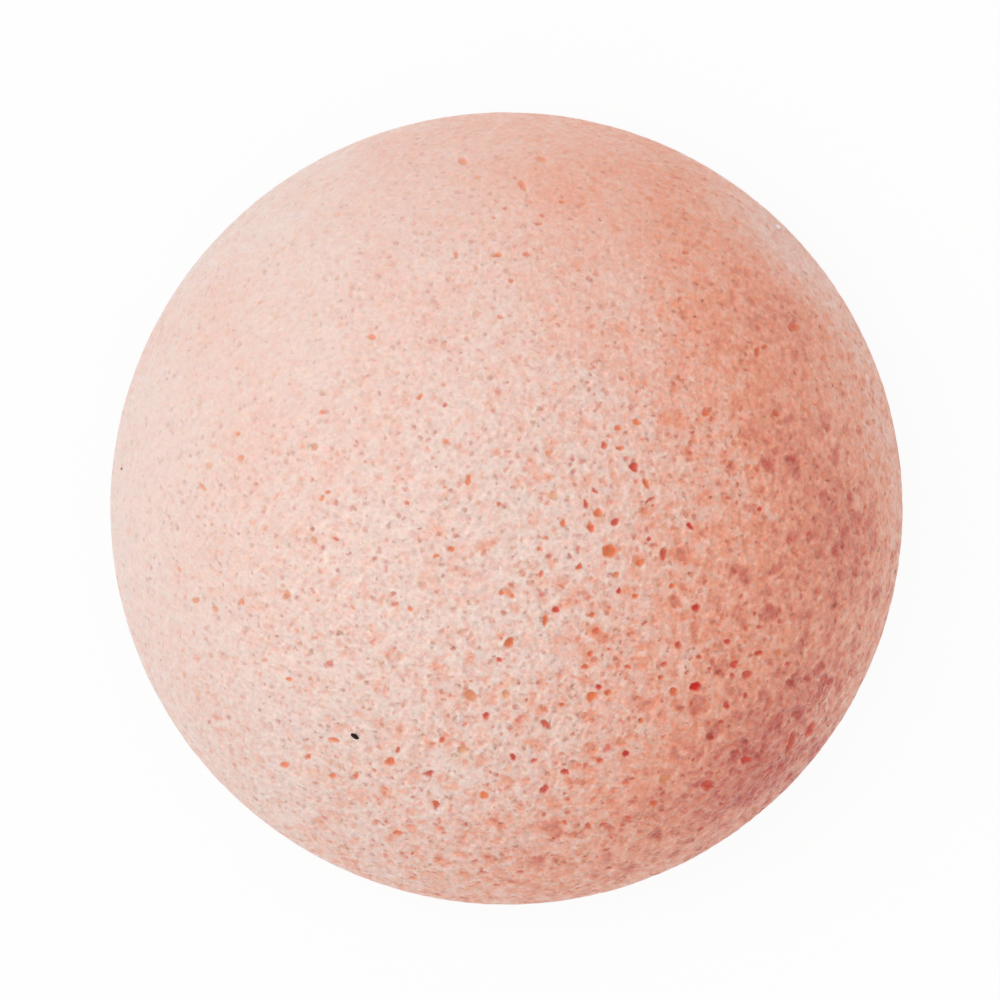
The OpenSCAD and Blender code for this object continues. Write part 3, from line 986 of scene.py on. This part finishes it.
def seen_straight(tree):
    """1 for what the camera sees straight, in a gloss or through glass, and 0 for what lights things"""
    path = add_node(tree, "ShaderNodeLightPath").outputs
    both = add_node(
        tree, "ShaderNodeMath", {0: path["Is Camera Ray"], 1: path["Is Glossy Ray"]}, operation="MAXIMUM"
    ).outputs[0]
    return add_node(
        tree, "ShaderNodeMath", {0: both, 1: path["Is Transmission Ray"]}, operation="MAXIMUM"
    ).outputs[0]


def card_material():
    """White card, pressed and matt: it shows as plain white and keeps a soft shadow"""
    material, tree, output = new_material("white_card")
    card = add_node(tree, "ShaderNodeBsdfDiffuse", {"Color": (0.85, 0.85, 0.85, 1)}).outputs[0]
    glow = add_node(tree, "ShaderNodeEmission", {"Strength": 1.0}).outputs[0]
    share = add_node(
        tree, "ShaderNodeMath", {0: seen_straight(tree), 1: 0.93}, operation="MULTIPLY"
    ).outputs[0]
    both = add_node(tree, "ShaderNodeMixShader", {0: share, 1: card, 2: glow}).outputs[0]
    tree.links.new(both, output.inputs["Surface"])
    return material


class SPONGE_OT_stage(Operator):
    """Makes the floor, the studio light and the camera"""

    bl_idname = "sponge.stage"
    bl_label = "Floor, light and camera"

    def execute(self, context):
        scene = context.scene
        settings = scene.sponge_stage
        ball = HalfBall(scene.sponge_foam)
        camera = bpy.data.objects.new("camera", bpy.data.cameras.new("camera"))
        camera.location = camera_place(ball, settings)
        camera.data.sensor_width = SENSOR_MM
        pixels = (settings.camera_height - ball.edge) * OUTLINE_R / (ball.back_r + ball.edge)
        camera.data.lens = SENSOR_MM * pixels / PHOTO_SIDE
        camera.data.clip_end = 4 * settings.camera_height
        scene.collection.objects.link(camera)
        scene.camera = camera

        lamp = bpy.data.lights.new("key_lamp", "AREA")
        lamp.shape, lamp.size, lamp.energy = "DISK", LAMP_WIDTH, settings.key_power
        key = bpy.data.objects.new("key_lamp", lamp)
        side, over = math.sin(settings.key_side), math.cos(settings.key_side)
        way = Vector((-side * math.cos(LAMP_TURN), side * math.sin(LAMP_TURN), over))
        key.location = LAMP_FAR * way
        key.rotation_euler = key.location.to_track_quat("Z", "Y").to_euler()
        key.visible_camera = False
        scene.collection.objects.link(key)

        scene.world = bpy.data.worlds.new("studio")
        scene.world.use_nodes = True
        tree = scene.world.node_tree
        tree.nodes.clear()
        strength = add_node(
            tree,
            "ShaderNodeMapRange",
            {"Value": seen_straight(tree), "To Min": settings.fill, "To Max": 1.0},
        ).outputs["Result"]
        light = add_node(tree, "ShaderNodeBackground", {"Color": (1, 1, 1, 1), "Strength": strength})
        add_node(tree, "ShaderNodeOutputWorld", {"Surface": light.outputs[0]})

        mesh = bpy.data.meshes.new("floor")
        far = 8.0
        corners = [(-far, -far, 0), (far, -far, 0), (far, far, 0), (-far, far, 0)]
        mesh.from_pydata(corners, [], [(0, 1, 2, 3)])
        new_piece("floor", mesh, card_material())
        scene.view_settings.view_transform = "Standard"
        return {"FINISHED"}


class SPONGE_PT_panel(Panel):
    """Shows a button for each step that makes the sponge and its stage"""

    bl_idname = "SPONGE_PT_panel"
    bl_label = "Konjac Sponge"
    bl_space_type = "VIEW_3D"
    bl_region_type = "UI"
    bl_category = "Konjac Sponge"

    def draw(self, context):
        for step in STEPS:
            self.layout.operator(step.bl_idname)


STEPS = (SPONGE_OT_stage, SPONGE_OT_half_ball, SPONGE_OT_chips)
CLASSES = (FoamSettings, ChipSettings, StageSettings, *STEPS, SPONGE_PT_panel)


def register():
    for each in CLASSES:
        bpy.utils.register_class(each)
    bpy.types.Scene.sponge_foam = PointerProperty(type=FoamSettings)
    bpy.types.Scene.sponge_chips = PointerProperty(type=ChipSettings)
    bpy.types.Scene.sponge_stage = PointerProperty(type=StageSettings)


def unregister():
    del bpy.types.Scene.sponge_stage
    del bpy.types.Scene.sponge_chips
    del bpy.types.Scene.sponge_foam
    for each in reversed(CLASSES):
        bpy.utils.unregister_class(each)


def main():
    register()
    bpy.ops.sponge.stage()
    bpy.ops.sponge.half_ball()
    bpy.ops.sponge.chips()


if __name__ == "__main__":
    main()
